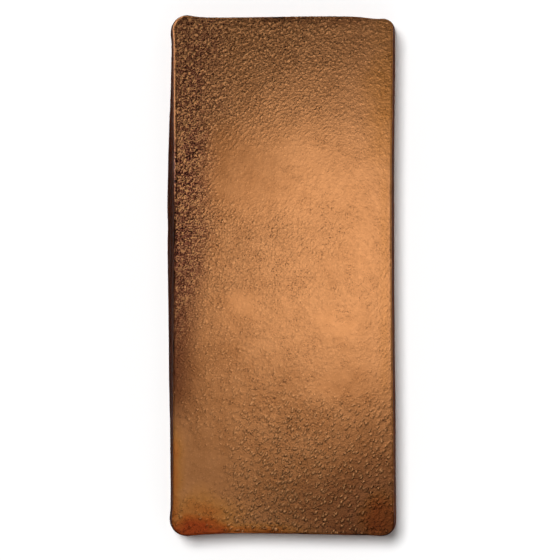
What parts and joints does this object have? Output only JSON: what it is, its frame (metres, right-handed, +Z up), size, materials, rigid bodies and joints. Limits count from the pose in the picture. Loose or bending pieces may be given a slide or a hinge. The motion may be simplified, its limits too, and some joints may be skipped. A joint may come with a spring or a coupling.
{
  "type": "copper ingot",
  "caption": "Cast copper ingot: a flat bar with eared round corners, drafted walls, a grainy mould face and a smooth rounded rim below.",
  "frame": {"origin": "middle of the footprint, on the plane that the ingot rests on", "axes": "+Z up out of the mould face, +Y along the length towards the head, +X across the width"},
  "size_m": [0.051, 0.116, 0.0201],
  "materials": {
    "copper": "copper as cast: grainy mould skin with heat tint and dark oxide at the edges, polished by handling in the middle"
  },
  "bodies": {
    "root": {"ingot": "copper"}
  },
  "joints": []
}
